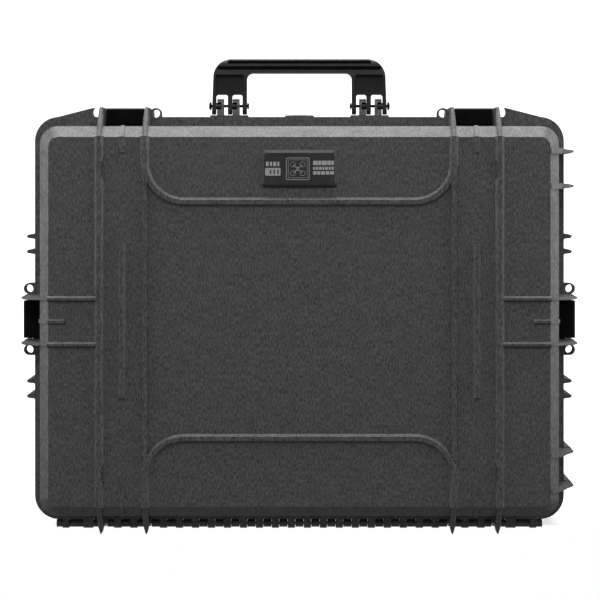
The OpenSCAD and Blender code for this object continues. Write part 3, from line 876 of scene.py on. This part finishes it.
def softbox(name, place, target, size, power):
    """A rectangular softbox aimed at a point."""
    light = bpy.data.lights.new(name, "AREA")
    light.shape = "RECTANGLE"
    light.size, light.size_y = size
    light.energy = power
    obj = bpy.data.objects.new(name, light)
    bpy.context.collection.objects.link(obj)
    obj.location = place
    obj.rotation_euler = (Vector(target) - Vector(place)).to_track_quat("-Z", "Y").to_euler()
    return obj


def seamless_paper():
    """Matt white studio paper."""
    material, tree, place = new_material("seamless paper")
    fibre = noise(tree, place, 300.0, 2.0)
    surface(tree, {
        "Base Color": linear(bpy.context.scene.case_studio.floor),
        "Roughness": 0.9,
        "Specular IOR Level": 0.1,
        "Emission Color": linear("#ffffff"),
        "Emission Strength": 0.35,
        "Normal": relief(tree, fibre, 0.03, 0.0003),
    })
    return material


class CASE_OT_stage(bpy.types.Operator):
    """Set the floor sweep, the lights and the camera"""

    bl_idname = "case.stage"
    bl_label = "Stage"

    def execute(self, context):
        studio = context.scene.case_studio
        low, high = (Vector(v) for v in CAD_BOX)
        # one sheet of paper: floor, wide bend, wall. It ends under the base, as a table's edge would,
        # because the lid swings down past the surface that the case stands on.
        bpy.ops.object.select_all(action="DESELECT")
        middle_y = (SWEEP_FRONT + SWEEP_BACK) / 2
        bpy.ops.mesh.primitive_plane_add(size=1, location=(0, middle_y, low.z - 0.2 * MM))
        sweep = context.object
        sweep.scale = (SWEEP_WIDTH, SWEEP_BACK - SWEEP_FRONT, 1)
        settle(sweep)
        bpy.ops.object.mode_set(mode="EDIT")
        pick(sweep, "EDGE", lambda e: all(v.co.y > 2 for v in e.verts))
        bpy.ops.mesh.extrude_region_move(TRANSFORM_OT_translate={"value": (0, 0, SWEEP_RISE)})
        pick(sweep, "EDGE", lambda e: all(v.co.y > 2 and v.co.z < 0.1 for v in e.verts))
        bpy.ops.mesh.bevel(offset=SWEEP_BEND, segments=14, affect="EDGES")
        bpy.ops.object.mode_set(mode="OBJECT")
        bpy.ops.object.shade_smooth()
        named(sweep, "paper_sweep", seamless_paper())
        # the paper shows, but throws no light back up on the case
        sweep.visible_diffuse = False
        sweep.visible_glossy = False

        centre = (low + high) / 2
        softbox("overhead", (0, 0.1, 2.0), (0, 0.1, 0.4), (2.2, 1.2), studio.overhead)
        softbox("left side", (-2.1, -0.15, 1.0), centre, (1.6, 1.9), studio.side)
        softbox("right side", (2.1, -0.15, 1.0), centre, (1.6, 1.9), 1.25 * studio.side)
        softbox("front fill", (-0.3, -2.9, 2.9), centre, (2.0, 1.4), studio.front)

        # the air is white to look at, and lights the case only a little
        world = bpy.data.worlds.new("studio air")
        world.use_nodes = True
        tree = world.node_tree
        tree.nodes.clear()
        seen = node(tree, "ShaderNodeLightPath").outputs["Is Camera Ray"]
        strength = spread(tree, seen, (0.0, 1.0), (studio.air, 1.0))
        air = node(tree, "ShaderNodeBackground", {"Color": linear("#ffffff"), "Strength": strength})
        node(tree, "ShaderNodeOutputWorld", {"Surface": air.outputs[0]})
        context.scene.world = world
        context.scene.view_settings.view_transform = "Standard"

        camera = bpy.data.cameras.new("camera")
        camera.lens = studio.lens
        camera.sensor_width = 36
        camera.shift_y = -0.19
        camera.shift_x = 0.001
        camera.clip_end = 30
        holder = bpy.data.objects.new("camera", camera)
        bpy.context.collection.objects.link(holder)
        holder.location = (0, low.y - studio.distance, studio.eye_level)
        holder.rotation_euler = (math.radians(90), 0, 0)
        context.scene.camera = holder
        return {"FINISHED"}


OPERATORS = (
    CASE_OT_shells,
    CASE_OT_latches,
    CASE_OT_handle,
    CASE_OT_hinge_and_seals,
    CASE_OT_valve_cap,
    CASE_OT_badge_marks,
    CASE_OT_foam_insert,
    CASE_OT_lid_foam,
    CASE_OT_stage,
)


class CASE_PT_panel(bpy.types.Panel):
    """Lists the case's pieces and settings"""

    bl_label = "Drone carrying case"
    bl_idname = "CASE_PT_panel"
    bl_space_type = "VIEW_3D"
    bl_region_type = "UI"
    bl_category = "Case"

    def draw(self, context):
        column = self.layout.column()
        for operator in OPERATORS:
            column.operator(operator.bl_idname)
        for group in (context.scene.case_finishes, context.scene.case_foam, context.scene.case_studio):
            box = self.layout.box()
            for name in group.bl_rna.properties.keys():
                if name not in ("rna_type", "name"):
                    box.prop(group, name)


CLASSES = (CaseFinishes, CaseFoam, CaseStudio) + OPERATORS + (CASE_PT_panel,)


def register():
    for cls in CLASSES:
        bpy.utils.register_class(cls)
    bpy.types.Scene.case_finishes = bpy.props.PointerProperty(type=CaseFinishes)
    bpy.types.Scene.case_foam = bpy.props.PointerProperty(type=CaseFoam)
    bpy.types.Scene.case_studio = bpy.props.PointerProperty(type=CaseStudio)


def unregister():
    del bpy.types.Scene.case_studio
    del bpy.types.Scene.case_foam
    del bpy.types.Scene.case_finishes
    for cls in reversed(CLASSES):
        bpy.utils.unregister_class(cls)


def main():
    register()
    bpy.ops.case.shells()
    bpy.ops.case.latches()
    bpy.ops.case.handle()
    bpy.ops.case.hinge_and_seals()
    bpy.ops.case.valve_cap()
    bpy.ops.case.badge_marks()
    bpy.ops.case.foam_insert()
    bpy.ops.case.lid_foam()
    bpy.ops.case.stage()


if __name__ == "__main__":
    main()
